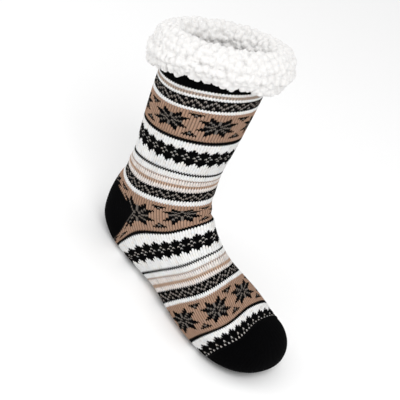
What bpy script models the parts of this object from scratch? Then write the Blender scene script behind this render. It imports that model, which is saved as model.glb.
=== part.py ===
"""A knitted slipper sock for a left foot, standing empty, with a turned-down sherpa cuff.

Metres, +Z up, +X from heel to toe, +Y to the outer side of the foot. The sock stands on z = 0.
The knit is one hollow wall through sections that run from the collar down the leg, fan round the
heel and lean along the foot. Each section has a back point, which is the sole's under the foot, and
a front point, which is the instep's on the foot.
"""

import math
from collections import namedtuple

import bmesh
import bpy
import numpy as np

# Lengths and heights of the sock
FOOT_LENGTH = 0.258
COLLAR_HEIGHT = 0.234  # floor to the middle of the knit's top edge
COLLAR_TILT = math.radians(15.0)  # the collar's front is the higher
ANKLE_HEIGHT = 0.1045
INSTEP_HEIGHT = 0.0885
BALL_HEIGHT = 0.0546
TOE_HEIGHT = 0.0460
ARCH_RISE = 0.0035
TOE_SPRING = 0.0165  # height of the toe's foremost point

# Depths, front to back, and widths, side to side
LEG_DEPTH = 0.1025
ANKLE_DEPTH = 0.0925
LEG_FRONT = 0.1050  # from the heel's back to the front of the leg at the collar
ANKLE_FRONT = 0.1010  # and at the ankle
LEG_WIDTH = 0.0930
ANKLE_WIDTH = 0.0750
HEEL_WIDTH = 0.0695
WAIST_WIDTH = 0.0815
BALL_WIDTH = 0.0965
TOE_SWAY = 0.0100  # how far the toe's tip lies to the inner side

# The toe's dome
TOE_END = math.radians(84.0)  # the quarter round stops here and closes in a fan
TOE_SIDE_POWER = 0.76  # under 1 is blunter than round, seen from above
TOE_TOP_POWER = 0.92  # and seen from the side

# The knitted wall
KNIT_WALL = 0.0024
FLAT_SINK = 0.0009  # how far the round sole would reach below the floor, which flattens it
POCKET_STEP = 0.0007  # heel and toe pockets are knitted denser and stand proud
POCKET_RAMP = 0.003
HEEL_POCKET_TOP = (0.0034, 0.0560)  # ends of the heel pocket in the side view: on the back line,
HEEL_POCKET_CORNER = (0.0573, 0.0494)  # at the ankle's sides
HEEL_POCKET_SOLE = (0.0300, 0.0)  # and on the sole
TOE_POCKET_SOLE = 0.0450  # length of the toe pocket along the sole
TOE_POCKET_TOP = 0.0270  # and along the top

# The cuff: a folded band of sherpa over the collar
SEAT_GAP = 0.0005
SEAT_WALL = KNIT_WALL / math.cos(COLLAR_TILT)  # the wall as the tilted collar's plane cuts it
SEAT_RISE = SEAT_GAP + KNIT_WALL * math.sin(COLLAR_TILT)  # the wall's edge rises above that plane
CUFF_HEIGHT = 0.0325  # where the band hangs highest, at the front of the inner side
CUFF_DROP = 0.0150  # how much lower it hangs at the back
CUFF_RISE = 0.0125  # above the knit's top edge
CUFF_LOFT = 0.0147  # thickness of the outer layer
CUFF_BULGE = 0.0033
LINING_LOFT = 0.0080
LINING_DROP = 0.0320  # how far the inner layer goes down inside
HEM_ROUND = 0.0085
TUFT_PITCH = 0.0132
TUFT_RISE = 0.0040
TUFT_SPACING = 0.86  # least distance between tufts, and how far a tuft and the dip
TUFT_REACH = 0.62  # about it reach, as shares of the pitch
TUFT_DIP = 0.35  # depth between tufts, as a share of their rise

# Facets
KNIT_COLUMNS = 36
KNIT_ROWS = 44
TOE_ROWS = 6
CUFF_COLUMNS = 72
HEM_DROPS = (
    # degrees from the back over the inner side, share of the cuff's drop
    (0.0, 1.00),
    (35.0, 0.85),
    (60.0, 0.45),
    (85.0, 0.08),
    (120.0, 0.00),
    (170.0, 0.08),
    (205.0, 0.50),
    (240.0, 0.55),
    (300.0, 0.75),
)

SEED = 7

Section = namedtuple("Section", "back_x back_z front_x front_z width widest under over sway ridge")


def shaft_section(height, calf, tilt):
    """A section of the leg. calf goes from 0, the ankle's size, to 1, the leg's."""
    depth = ANKLE_DEPTH + (LEG_DEPTH - ANKLE_DEPTH) * calf
    width = ANKLE_WIDTH + (LEG_WIDTH - ANKLE_WIDTH) * calf
    front = ANKLE_FRONT + (LEG_FRONT - ANKLE_FRONT) * calf
    lift = 0.5 * depth * math.tan(tilt)
    return Section(front - depth, height - lift, front, height + lift, width, 0.0, 2.1, 2.1, 0.0, 0.0)


def shaft_sections():
    leg = COLLAR_HEIGHT - ANKLE_HEIGHT
    rows = (
        # share of the leg above the ankle, calf, share of the collar's tilt
        (1.00, 1.00, 1.00),
        (0.76, 0.98, 0.90),
        (0.52, 0.80, 0.80),
        (0.26, 0.42, 0.75),
        (0.00, 0.00, 0.85),
    )
    return [
        shaft_section(ANKLE_HEIGHT + share * leg, calf, tilt * COLLAR_TILT) for share, calf, tilt in rows
    ]


def foot_sections():
    """From below the ankle round the heel to the toe's root. x is a share of the foot's length and z one
    of the instep's height; sink is added to the back point's height, in metres."""
    length, high, flat, arch = FOOT_LENGTH, INSTEP_HEIGHT, -FLAT_SINK, ARCH_RISE
    ankle, heel, waist, ball = ANKLE_WIDTH, HEEL_WIDTH, WAIST_WIDTH, BALL_WIDTH
    on_ball, on_toe = BALL_HEIGHT / high, TOE_HEIGHT / high
    before_toe = 0.45 * on_ball + 0.55 * on_toe
    rows = (
        # back x, back z, sink, front x, front z, width, widest, under, over, sway, ridge
        (0.022, 0.84, 0.00, 0.405, 1.100, 0.96 * ankle, -0.04, 2.1, 2.10, 0.000, 0.00),
        (0.007, 0.58, 0.00, 0.416, 1.030, 1.05 * heel, -0.10, 2.2, 2.00, 0.000, 0.01),
        (0.000, 0.33, 0.00, 0.439, 0.972, 1.02 * heel, -0.16, 2.3, 2.00, 0.000, 0.02),
        (0.019, 0.11, 0.00, 0.476, 0.922, 1.00 * heel, -0.28, 2.4, 2.00, 0.000, 0.03),
        (0.100, 0.00, flat, 0.522, 0.868, 1.00 * heel, -0.40, 2.8, 1.90, 0.000, 0.05),
        (0.205, 0.00, flat, 0.576, 0.802, 0.52 * heel + 0.47 * waist, -0.44, 3.0, 1.90, 0.010, 0.07),
        (0.325, 0.00, 0.45 * arch, 0.634, 0.732, 0.98 * waist, -0.44, 3.0, 1.90, 0.010, 0.08),
        (0.450, 0.00, arch, 0.694, 0.668, 0.52 * waist + 0.46 * ball, -0.42, 3.0, 1.95, 0.000, 0.08),
        (0.568, 0.00, 0.25 * arch, 0.752, on_ball, 0.970 * ball, -0.36, 3.0, 2.10, 0.012, 0.07),
        (0.675, 0.00, flat, 0.810, before_toe, 1.000 * ball, -0.30, 3.0, 2.20, 0.028, 0.06),
        (0.765, 0.00, flat, 0.860, on_toe, 0.985 * ball, -0.22, 3.0, 2.30, 0.050, 0.04),
    )
    return [
        Section(
            row[0] * length,
            row[1] * high + row[2],
            row[3] * length,
            row[4] * high,
            *row[5:9],
            -row[9] * ball,
            -row[10] * ball,
        )
        for row in rows
    ]


def toe_sections(root):
    """The toe's dome, from its root section to just short of the tip, by the angle of a quarter round."""
    sections = []
    for step in range(1, TOE_ROWS + 1):
        angle = TOE_END * step / TOE_ROWS
        reach, shrink = math.sin(angle), math.cos(angle)
        tip = (FOOT_LENGTH, TOE_SPRING)
        sections.append(
            Section(
                root.back_x + (tip[0] - root.back_x) * reach,
                tip[1] + (root.back_z - tip[1]) * shrink,
                root.front_x + (tip[0] - root.front_x) * reach,
                tip[1] + (root.front_z - tip[1]) * shrink**TOE_TOP_POWER,
                root.width * shrink**TOE_SIDE_POWER,
                root.widest * shrink,
                root.under + (2.2 - root.under) * (1 - shrink),
                root.over + (2.2 - root.over) * (1 - shrink),
                root.sway + (-TOE_SWAY - root.sway) * (1 - shrink),
                root.ridge * shrink,
            )
        )
    return sections


class Form:
    """The sock's sections and the smooth run between them."""

    def __init__(self, sections):
        self.rows = np.array(sections)
        steps = np.diff(self.rows[:, :4], axis=0)
        back = np.hypot(steps[:, 0], steps[:, 1])
        front = np.hypot(steps[:, 2], steps[:, 3])
        # A section's place is the mean of the ways to it along the back and front lines.
        self.places = np.concatenate([[0.0], np.cumsum(0.5 * (back + front))])
        self.slopes = np.gradient(self.rows, self.places, axis=0)

    def at(self, place):
        """The section at a place, on a cubic through all sections."""
        places, rows, slopes = self.places, self.rows, self.slopes
        index = int(np.clip(np.searchsorted(places, place) - 1, 0, len(places) - 2))
        span = places[index + 1] - places[index]
        share = (place - places[index]) / span
        rest = 1 - share
        row = rows[index] * rest**2 * (1 + 2 * share) + rows[index + 1] * share**2 * (1 + 2 * rest)
        row += span * share * rest * (slopes[index] * rest - slopes[index + 1] * share)
        return Section(*row)

    def beside(self, rise):
        """The section at a way up from the collar, or down the leg where it is below zero."""
        section = self.at(max(-rise, 0.0))
        over = max(rise, 0.0)
        shift_x, shift_z = -over * math.sin(COLLAR_TILT), over * math.cos(COLLAR_TILT)
        return section._replace(
            back_x=section.back_x + shift_x,
            back_z=section.back_z + shift_z,
            front_x=section.front_x + shift_x,
            front_z=section.front_z + shift_z,
        )


def outline_half(section, side, samples=96):
    """Half a section from its back point to its front point, as points in space. side is -1 or 1."""
    angle = np.linspace(0.0, math.pi, samples)
    lower = angle <= 0.5 * math.pi
    power = np.where(lower, 2 / section.under, 2 / section.over)
    along = np.abs(np.cos(angle)) ** power
    along = np.where(
        lower,
        section.widest - (section.widest + 1) * along,
        section.widest + (1 - section.widest) * along,
    )
    share = 0.5 * (along + 1)
    out = 0.5 * section.width * np.sin(angle) ** power
    return np.stack(
        [
            section.back_x + (section.front_x - section.back_x) * share,
            side * out + section.sway + section.ridge * share**2,
            section.back_z + (section.front_z - section.back_z) * share,
        ],
        axis=1,
    )


def spaced(points, count):
    """count + 1 points at even distances along a fine polyline."""
    way = np.concatenate([[0.0], np.cumsum(np.linalg.norm(np.diff(points, axis=0), axis=1))])
    places = np.linspace(0.0, way[-1], count + 1)
    return np.stack([np.interp(places, way, points[:, axis]) for axis in range(3)], axis=1)


def ring_of(section, columns):
    """A whole section: from the back point along the inner side to the front and back along the outer."""
    inner = spaced(outline_half(section, -1), columns // 2)
    outer = spaced(outline_half(section, 1), columns // 2)
    return np.concatenate([inner, outer[-2:0:-1]])


def side_of(line, place):
    """Distance of a place of the side view from a directed line, above zero on the line's left."""
    start, end = np.array(line)
    run, rise = (end - start) / np.linalg.norm(end - start)
    return run * (place[1] - start[1]) - rise * (place[0] - start[0])


def pocket_step(x, z):
    """How far the wall stands proud at a place of the side view: all of it inside a pocket."""
    under_top = side_of((HEEL_POCKET_CORNER, HEEL_POCKET_TOP), (x, z))
    behind_sole = side_of((HEEL_POCKET_SOLE, HEEL_POCKET_CORNER), (x, z))
    toe_sole = (FOOT_LENGTH - TOE_POCKET_SOLE, 0.0)
    toe_top = (FOOT_LENGTH - TOE_POCKET_TOP, TOE_HEIGHT)
    inside = max(min(under_top, behind_sole), side_of((toe_top, toe_sole), (x, z)))
    return POCKET_STEP * np.clip(inside / POCKET_RAMP + 0.5, 0.0, 1.0)


def material(name, color, roughness):
    made = bpy.data.materials.new(name)
    made.use_nodes = True
    shader = made.node_tree.nodes["Principled BSDF"]
    shader.inputs["Base Color"].default_value = (*color, 1.0)
    shader.inputs["Roughness"].default_value = roughness
    shader.inputs["Metallic"].default_value = 0.0
    return made


def mesh_object(name, bm, finish, collection):
    mesh = bpy.data.meshes.new(name)
    bm.to_mesh(mesh)
    bm.free()
    mesh.shade_smooth()
    made = bpy.data.objects.new(name, mesh)
    mesh.materials.append(finish)
    collection.objects.link(made)
    return made


def bridge(bm, first, second):
    count = len(first)
    for i in range(count):
        j = (i + 1) % count
        bm.faces.new((first[i], first[j], second[j], second[i]))


def knit_mesh(form):
    """The knit's outer surface, open at the collar and closed at the toe."""
    toe_root = form.places[-1 - TOE_ROWS]
    body = np.linspace(0.0, toe_root, KNIT_ROWS - TOE_ROWS, endpoint=False)
    places = np.concatenate([body, form.places[-1 - TOE_ROWS :]])
    bm = bmesh.new()
    previous = None
    for place in places:
        ring = [bm.verts.new(point) for point in ring_of(form.at(place), KNIT_COLUMNS)]
        if previous:
            bridge(bm, previous, ring)
        previous = ring
    tip = bm.verts.new((FOOT_LENGTH, -TOE_SWAY, TOE_SPRING))
    for i in range(KNIT_COLUMNS):
        bm.faces.new((previous[i], previous[(i + 1) % KNIT_COLUMNS], tip))
    bmesh.ops.recalc_face_normals(bm, faces=bm.faces)
    bm.normal_update()
    moves = [(vert, vert.normal * pocket_step(vert.co.x, vert.co.z)) for vert in bm.verts]
    for vert, move in moves:
        vert.co += move
        vert.co.z = max(vert.co.z, 0.0)
    return bm


def make_knit(form, collection):
    finish = material("knit yarn", (0.045, 0.042, 0.043), 0.85)
    sock = mesh_object("knit_sock", knit_mesh(form), finish, collection)
    wall = sock.modifiers.new("wall", "SOLIDIFY")
    wall.thickness = KNIT_WALL
    wall.offset = -1.0
    wall.use_even_offset = True
    wall.use_rim = True
    return sock


def cuff_profile():
    """The band's closed section as (out from the knit's face, up from the collar), counter-clockwise."""
    seat_in = -SEAT_WALL - SEAT_GAP
    face_in = seat_in - LINING_LOFT
    seat_out = SEAT_GAP
    face_out = seat_out + CUFF_LOFT
    top = CUFF_RISE
    hem = top - CUFF_HEIGHT
    lining_end = -LINING_DROP
    roll = CUFF_RISE + 0.4 * HEM_ROUND
    inner_round = 0.5 * LINING_LOFT
    points = []

    def arc(centre, radii, start, end, steps):
        for step in range(steps + 1):
            angle = math.radians(start + (end - start) * step / steps)
            points.append((centre[0] + radii[0] * math.cos(angle), centre[1] + radii[1] * math.sin(angle)))

    def line(start, end, steps, bulge=0.0):
        for step in range(1, steps):
            share = step / steps
            out = start[0] + (end[0] - start[0]) * share + bulge * math.sin(math.pi * share)
            points.append((out, start[1] + (end[1] - start[1]) * share))

    hem_level, roll_level, lining_level = hem + HEM_ROUND, top - roll, lining_end + inner_round
    arc((0.5 * (seat_out + face_out), hem_level), (0.5 * CUFF_LOFT, HEM_ROUND), 180, 360, 6)
    line((face_out, hem_level), (face_out, roll_level), 6, CUFF_BULGE)
    arc((0.5 * (face_in + face_out), roll_level), (0.5 * (face_out - face_in), roll), 0, 180, 9)
    line((face_in, roll_level), (face_in, lining_level), 4)
    arc((0.5 * (face_in + seat_in), lining_level), (inner_round, inner_round), 180, 360, 4)
    line((seat_in, lining_level), (seat_in, SEAT_RISE), 3)
    points.append((seat_in, SEAT_RISE))
    points.append((seat_out, SEAT_RISE))
    line((seat_out, SEAT_RISE), (seat_out, hem_level), 4)
    return points


def shaft_frame(form, rise, columns):
    """The leg's outline at a way up from the collar, the directions out of it, and the one up."""
    section = form.beside(rise)
    ring = ring_of(section, columns)
    slope = math.atan2(section.front_z - section.back_z, section.front_x - section.back_x)
    up = np.array([-math.sin(slope), 0.0, math.cos(slope)])
    out = np.cross(np.roll(ring, -1, axis=0) - np.roll(ring, 1, axis=0), up)
    out /= np.linalg.norm(out, axis=1)[:, None]
    if (out * (ring - ring.mean(axis=0))).sum() < 0:
        out = -out
    return ring, out, np.broadcast_to(up, ring.shape)


def hem_drops():
    """How much lower the hem hangs at each column, as a share of the whole drop."""
    table = np.array(HEM_DROPS)
    around = np.linspace(0.0, 360.0, CUFF_COLUMNS, endpoint=False)
    drops = np.interp(around, table[:, 0], table[:, 1], period=360.0)
    for _ in range(6):
        drops = 0.25 * np.roll(drops, 1) + 0.5 * drops + 0.25 * np.roll(drops, -1)
    return drops[:, None]


def hung_frame(form, rise, drop):
    """The frame at a way up from the collar, which hangs lower by up to drop."""
    level = shaft_frame(form, rise, CUFF_COLUMNS)
    lower = shaft_frame(form, rise - drop, CUFF_COLUMNS)
    return [high + (low - high) * hem_drops() for high, low in zip(level, lower)]


def tuft_centres(surface, rng):
    """Places on the cuff's pile about one pitch apart, taken in a seeded order."""
    chosen = []
    for index in rng.permutation(len(surface)):
        place = surface[index]
        if all(np.linalg.norm(place - other) > TUFT_SPACING * TUFT_PITCH for other in chosen):
            chosen.append(place)
    return np.array(chosen)


def cuff_mesh(form):
    """The folded band, with its tufts raised from the pile and never into the knit."""
    profile = np.array(cuff_profile())
    run, climb = (np.roll(profile, -1, axis=0) - np.roll(profile, 1, axis=0)).T
    size = np.hypot(run, climb)
    seat_in, seat_out = -SEAT_WALL - SEAT_GAP, SEAT_GAP
    pile = (profile[:, 0] > 1.01 * seat_out) | (profile[:, 0] < 1.01 * seat_in)
    hang = np.clip((SEAT_RISE - profile[:, 1]) / (CUFF_HEIGHT - CUFF_RISE), 0.0, 1.0) * (profile[:, 0] > 0)
    frames = [hung_frame(form, rise, share * CUFF_DROP) for rise, share in zip(profile[:, 1], hang)]
    ring, outward, upward = (np.array(part) for part in zip(*frames))
    grid = ring + outward * profile[:, 0, None, None]
    centres = tuft_centres(grid[pile].reshape(-1, 3), np.random.default_rng(SEED))
    distance = np.linalg.norm(grid[:, :, None, :] - centres[None, None, :, :], axis=3).min(axis=2)
    dome = np.clip(1 - (distance / (TUFT_REACH * TUFT_PITCH)) ** 2, -TUFT_DIP, 1.0)
    lift = TUFT_RISE * dome * pile[:, None]
    out = profile[:, 0, None] + lift * (climb / size)[:, None]
    below = profile[:, 1] < SEAT_RISE
    outer = below & (profile[:, 0] > 0)
    inner = below & (profile[:, 0] < 0)
    out[outer] = np.maximum(out[outer], seat_out)
    out[inner] = np.minimum(out[inner], seat_in - SEAT_GAP * pile[inner, None])
    grid = ring + outward * out[:, :, None] - upward * (lift * (run / size)[:, None])[:, :, None]
    bm = bmesh.new()
    rings = [[bm.verts.new(point) for point in row] for row in grid]
    for index, lower in enumerate(rings):
        bridge(bm, lower, rings[(index + 1) % len(rings)])
    bmesh.ops.recalc_face_normals(bm, faces=bm.faces)
    return bm


def make_cuff(form, collection):
    finish = material("sherpa fleece", (0.90, 0.89, 0.87), 0.95)
    return mesh_object("sherpa_cuff", cuff_mesh(form), finish, collection)


def stand_on_origin(parts):
    """Moves the meshes together, so that the middle of the box's base is the origin."""
    bpy.context.view_layer.update()
    corners = np.array([vert.co for part in parts for vert in part.data.vertices])
    middle = 0.5 * (corners.min(axis=0) + corners.max(axis=0))
    for part in parts:
        for vert in part.data.vertices:
            vert.co.x -= middle[0]
            vert.co.y -= middle[1]


def main():
    for old in list(bpy.data.objects):
        bpy.data.objects.remove(old, do_unlink=True)
    collection = bpy.data.collections.new("slipper sock")
    bpy.context.scene.collection.children.link(collection)
    foot = foot_sections()
    form = Form(shaft_sections() + foot + toe_sections(foot[-1]))
    parts = [make_knit(form, collection), make_cuff(form, collection)]
    stand_on_origin(parts)


main()
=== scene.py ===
"""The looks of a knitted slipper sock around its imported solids, in the same frame, in metres."""

import math
from collections import namedtuple
from itertools import product

import bpy
import numpy as np
from mathutils import Matrix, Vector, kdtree


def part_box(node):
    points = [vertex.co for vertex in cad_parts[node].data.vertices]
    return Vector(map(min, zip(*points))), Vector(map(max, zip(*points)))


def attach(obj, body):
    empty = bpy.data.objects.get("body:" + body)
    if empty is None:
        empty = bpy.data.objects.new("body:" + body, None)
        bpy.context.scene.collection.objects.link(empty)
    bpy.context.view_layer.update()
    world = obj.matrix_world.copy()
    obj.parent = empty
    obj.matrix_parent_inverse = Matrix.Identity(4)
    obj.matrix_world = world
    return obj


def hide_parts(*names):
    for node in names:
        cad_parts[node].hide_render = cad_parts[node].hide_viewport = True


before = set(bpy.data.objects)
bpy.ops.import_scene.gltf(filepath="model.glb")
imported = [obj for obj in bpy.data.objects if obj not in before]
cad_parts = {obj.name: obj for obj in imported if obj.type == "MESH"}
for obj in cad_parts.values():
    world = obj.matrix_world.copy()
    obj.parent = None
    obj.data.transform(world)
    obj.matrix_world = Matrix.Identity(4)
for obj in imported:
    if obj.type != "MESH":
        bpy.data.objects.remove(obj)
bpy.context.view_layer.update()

MM = 1000.0  # millimetres to a metre
TINY = 1e-12  # keeps a division by zero away

# The sock's sizes, as in the solids
FOOT_LENGTH = 0.258
COLLAR_HEIGHT = 0.234
COLLAR_TILT = math.radians(15.0)
ANKLE_HEIGHT = 0.1045
INSTEP_HEIGHT = 0.0885
BALL_HEIGHT = 0.0546
TOE_HEIGHT = 0.0460
ARCH_RISE = 0.0035
TOE_SPRING = 0.0165
LEG_DEPTH = 0.1025
ANKLE_DEPTH = 0.0925
LEG_FRONT = 0.1050
ANKLE_FRONT = 0.1010
LEG_WIDTH = 0.0930
ANKLE_WIDTH = 0.0750
HEEL_WIDTH = 0.0695
WAIST_WIDTH = 0.0815
BALL_WIDTH = 0.0965
TOE_SWAY = 0.0100
TOE_SIDE_POWER = 0.76
TOE_TOP_POWER = 0.92
TOE_ANGLES = (14.0, 28.0, 42.0, 56.0, 70.0, 84.0, 89.5)
KNIT_WALL = 0.0024
FLAT_SINK = 0.0009
POCKET_STEP = 0.0007
SEAT_GAP = 0.0005
SEAT_WALL = KNIT_WALL / math.cos(COLLAR_TILT)
SEAT_RISE = SEAT_GAP + KNIT_WALL * math.sin(COLLAR_TILT)
CUFF_HEIGHT = 0.0325
CUFF_DROP = 0.0150
CUFF_RISE = 0.0125
CUFF_LOFT = 0.0147
CUFF_BULGE = 0.0033
LINING_LOFT = 0.0080
LINING_DROP = 0.0320
HEM_ROUND = 0.0085
LEG_POWER = 2.1  # 2 makes an outline an ellipse, and more fills its corners
TOE_POWER = 2.2
OUTLINE_POINTS = 128

# The stitches
WALES = 96  # wale 0 runs down the back and the sole, 24 down the inner side, 48 down the front
FRONT_WALE = WALES // 2
STITCH_COLUMNS = 4
STITCH_RISE = 0.00046
STITCH_SHEAR = 1.00  # how far a stitch's two legs lean together, in rows
RIB = (-1.0, 0.85, -0.35, 0.85)  # heights across a wale, as shares of the rise
RIB_HOLLOW_SHADE = (1.0, 0.0, 0.55, 0.0)  # painted shade at the same points, by how deep they lie
ROW_SWELL = 0.30  # how far a stitch's middle stands up and its ends down
ROW_HOLLOW_SHADE = 0.25  # painted shade between two rows
RIB_SHADES = (-0.42, 0.12, 0.12, -0.42)  # painted shade between two wales, strongest on a yarn neither dark nor pale
PALE_FILL = 0.55  # how far pale yarn hides the painted shade between stitches
PALE_LIGHT = (0.35, 0.75)  # the lightness from which a yarn counts as pale, and as fully pale
LUMINANCE = np.array([0.2126, 0.7152, 0.0722])
FLOOR_GAP = 0.0002
PROUD = 0.0002
POCKET_PROUD = 0.5 * POCKET_STEP
POCKET_RISE = 0.85 * STITCH_RISE  # the pockets are knitted denser
UV_STITCHES = 24.0  # stitches to one repeat of the knit's UV map
SEED = 11

Section = namedtuple("Section", "back_x back_z front_x front_z width widest under over sway ridge")


def unit(vectors, guard=0.0):
    """The same directions with a length of 1."""
    return vectors / (np.linalg.norm(vectors, axis=-1)[..., None] + guard)


def cubic(first, second, lean, next_lean, share, span=1.0):
    """A smooth run from one value to the next, with a slope at each."""
    rest = 1 - share
    level = first * rest**2 * (1 + 2 * share) + second * share**2 * (1 + 2 * rest)
    return level + span * share * rest * (lean * rest - next_lean * share)


def spaced(points, count, closed=False):
    """A line's points at even distances: a closed line runs back to its start."""
    if closed:
        points = np.concatenate([points, points[:1]])
    way = np.concatenate([[0.0], np.cumsum(np.linalg.norm(np.diff(points, axis=0), axis=1))])
    places = np.linspace(0.0, way[-1], count if closed else count + 1, endpoint=not closed)
    return np.stack([np.interp(places, way, values) for values in points.T], axis=1)


def shaft_section(height, calf, tilt):
    depth = ANKLE_DEPTH + (LEG_DEPTH - ANKLE_DEPTH) * calf
    width = ANKLE_WIDTH + (LEG_WIDTH - ANKLE_WIDTH) * calf
    front = ANKLE_FRONT + (LEG_FRONT - ANKLE_FRONT) * calf
    lift = 0.5 * depth * math.tan(tilt)
    return Section(
        front - depth, height - lift, front, height + lift, width, 0.0, LEG_POWER, LEG_POWER, 0.0, 0.0
    )


def shaft_sections():
    leg = COLLAR_HEIGHT - ANKLE_HEIGHT
    rows = (
        # share of the leg above the ankle, calf, share of the collar's tilt
        (1.00, 1.00, 1.00),
        (0.76, 0.98, 0.90),
        (0.52, 0.80, 0.80),
        (0.26, 0.42, 0.75),
        (0.00, 0.00, 0.85),
    )
    return [
        shaft_section(ANKLE_HEIGHT + share * leg, calf, tilt * COLLAR_TILT) for share, calf, tilt in rows
    ]


def foot_sections():
    length, high, flat, arch = FOOT_LENGTH, INSTEP_HEIGHT, -FLAT_SINK, ARCH_RISE
    ankle, heel, waist, ball = ANKLE_WIDTH, HEEL_WIDTH, WAIST_WIDTH, BALL_WIDTH
    on_ball, on_toe = BALL_HEIGHT / high, TOE_HEIGHT / high
    before_toe = 0.45 * on_ball + 0.55 * on_toe
    rows = (
        # back x, back z, sink, front x, front z, width, widest, under, over, sway, ridge
        (0.022, 0.84, 0.00, 0.405, 1.100, 0.96 * ankle, -0.04, 2.1, 2.10, 0.000, 0.00),
        (0.007, 0.58, 0.00, 0.416, 1.030, 1.05 * heel, -0.10, 2.2, 2.00, 0.000, 0.01),
        (0.000, 0.33, 0.00, 0.439, 0.972, 1.02 * heel, -0.16, 2.3, 2.00, 0.000, 0.02),
        (0.019, 0.11, 0.00, 0.476, 0.922, 1.00 * heel, -0.28, 2.4, 2.00, 0.000, 0.03),
        (0.100, 0.00, flat, 0.522, 0.868, 1.00 * heel, -0.40, 2.8, 1.90, 0.000, 0.05),
        (0.205, 0.00, flat, 0.576, 0.802, 0.52 * heel + 0.47 * waist, -0.44, 3.0, 1.90, 0.010, 0.07),
        (0.325, 0.00, 0.45 * arch, 0.634, 0.732, 0.98 * waist, -0.44, 3.0, 1.90, 0.010, 0.08),
        (0.450, 0.00, arch, 0.694, 0.668, 0.52 * waist + 0.46 * ball, -0.42, 3.0, 1.95, 0.000, 0.08),
        (0.568, 0.00, 0.25 * arch, 0.752, on_ball, 0.970 * ball, -0.36, 3.0, 2.10, 0.012, 0.07),
        (0.675, 0.00, flat, 0.810, before_toe, 1.000 * ball, -0.30, 3.0, 2.20, 0.028, 0.06),
        (0.765, 0.00, flat, 0.860, on_toe, 0.985 * ball, -0.22, 3.0, 2.30, 0.050, 0.04),
    )
    return [
        Section(
            row[0] * length, row[1] * high + row[2], row[3] * length, row[4] * high, *row[5:9],
            -row[9] * ball, -row[10] * ball,
        )
        for row in rows
    ]


def toe_sections(root):
    tip = (FOOT_LENGTH, TOE_SPRING)
    sections = []
    for degrees in TOE_ANGLES:
        reach, shrink = math.sin(math.radians(degrees)), math.cos(math.radians(degrees))
        sections.append(
            Section(
                root.back_x + (tip[0] - root.back_x) * reach,
                tip[1] + (root.back_z - tip[1]) * shrink,
                root.front_x + (tip[0] - root.front_x) * reach,
                tip[1] + (root.front_z - tip[1]) * shrink**TOE_TOP_POWER,
                root.width * shrink**TOE_SIDE_POWER,
                root.widest * shrink,
                root.under + (TOE_POWER - root.under) * (1 - shrink),
                root.over + (TOE_POWER - root.over) * (1 - shrink),
                root.sway + (-TOE_SWAY - root.sway) * (1 - shrink),
                root.ridge * shrink,
            )
        )
    return sections


class Form:
    """The sock's sections and the smooth run between them."""

    def __init__(self, sections):
        self.rows = np.array(sections)
        steps = np.diff(self.rows[:, :4], axis=0)
        back, front = np.hypot(steps[:, 0], steps[:, 1]), np.hypot(steps[:, 2], steps[:, 3])
        self.places = np.concatenate([[0.0], np.cumsum(0.5 * (back + front))])
        self.slopes = np.gradient(self.rows, self.places, axis=0)

    def at(self, place):
        """The section at a way from the collar."""
        index = int(np.clip(np.searchsorted(self.places, place) - 1, 0, len(self.places) - 2))
        span = self.places[index + 1] - self.places[index]
        share = (place - self.places[index]) / span
        ends, slopes = self.rows[index : index + 2], self.slopes[index : index + 2]
        return Section(*cubic(*ends, *slopes, share, span))

    def raised(self, rise):
        """The section at a rise from the collar: above it the collar's own goes straight on."""
        section = self.at(max(-rise, 0.0))
        over = max(rise, 0.0)
        shift_x, shift_z = -over * math.sin(COLLAR_TILT), over * math.cos(COLLAR_TILT)
        return section._replace(
            back_x=section.back_x + shift_x, back_z=section.back_z + shift_z,
            front_x=section.front_x + shift_x, front_z=section.front_z + shift_z,
        )


def outline_half(section, side):
    """One side of a section's outline, from its back or sole to its front or top."""
    angle = np.linspace(0.0, math.pi, OUTLINE_POINTS)
    lower = angle <= 0.5 * math.pi
    power = np.where(lower, 2 / section.under, 2 / section.over)
    along = np.abs(np.cos(angle)) ** power
    low, high = section.widest - (section.widest + 1) * along, section.widest + (1 - section.widest) * along
    share = 0.5 * (np.where(lower, low, high) + 1)
    out = 0.5 * section.width * np.sin(angle) ** power
    return np.stack(
        [
            section.back_x + (section.front_x - section.back_x) * share,
            side * out + section.sway + section.ridge * share**2,
            section.back_z + (section.front_z - section.back_z) * share,
        ],
        axis=1,
    )


def ring_of(section, columns):
    inner = spaced(outline_half(section, -1), columns // 2)
    outer = spaced(outline_half(section, 1), columns // 2)
    return np.concatenate([inner, outer[-2:0:-1]])


FOOT = foot_sections()
FORM = Form(shaft_sections() + FOOT + toe_sections(FOOT[-1]))
END = float(FORM.places[-1])
GRID_ROWS, GRID_COLUMNS = 801, 2 * WALES
GRID_END = GRID_ROWS - 1.001  # just short of the last row, so that a row follows

# The form's grid, in the solids' frame
GRID = np.array([ring_of(FORM.at(place), GRID_COLUMNS) for place in np.linspace(0.0, END, GRID_ROWS)])
KNIT_LOW, KNIT_HIGH = (np.array(corner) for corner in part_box("knit_sock"))
SHIFT = np.array(
    [
        KNIT_HIGH[0] - FOOT_LENGTH - POCKET_STEP,
        0.5 * (KNIT_LOW[1] + KNIT_HIGH[1] - GRID[..., 1].min() - GRID[..., 1].max()),
        0.0,
    ]
)
GRID += SHIFT
ACROSS = np.roll(GRID, -1, axis=1) - np.roll(GRID, 1, axis=1)
NORMALS = np.cross(np.gradient(GRID, axis=0), ACROSS)
NORMALS *= np.sign((NORMALS * (GRID - GRID.mean(axis=1, keepdims=True))).sum())
NORMALS = unit(NORMALS, TINY)


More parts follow.
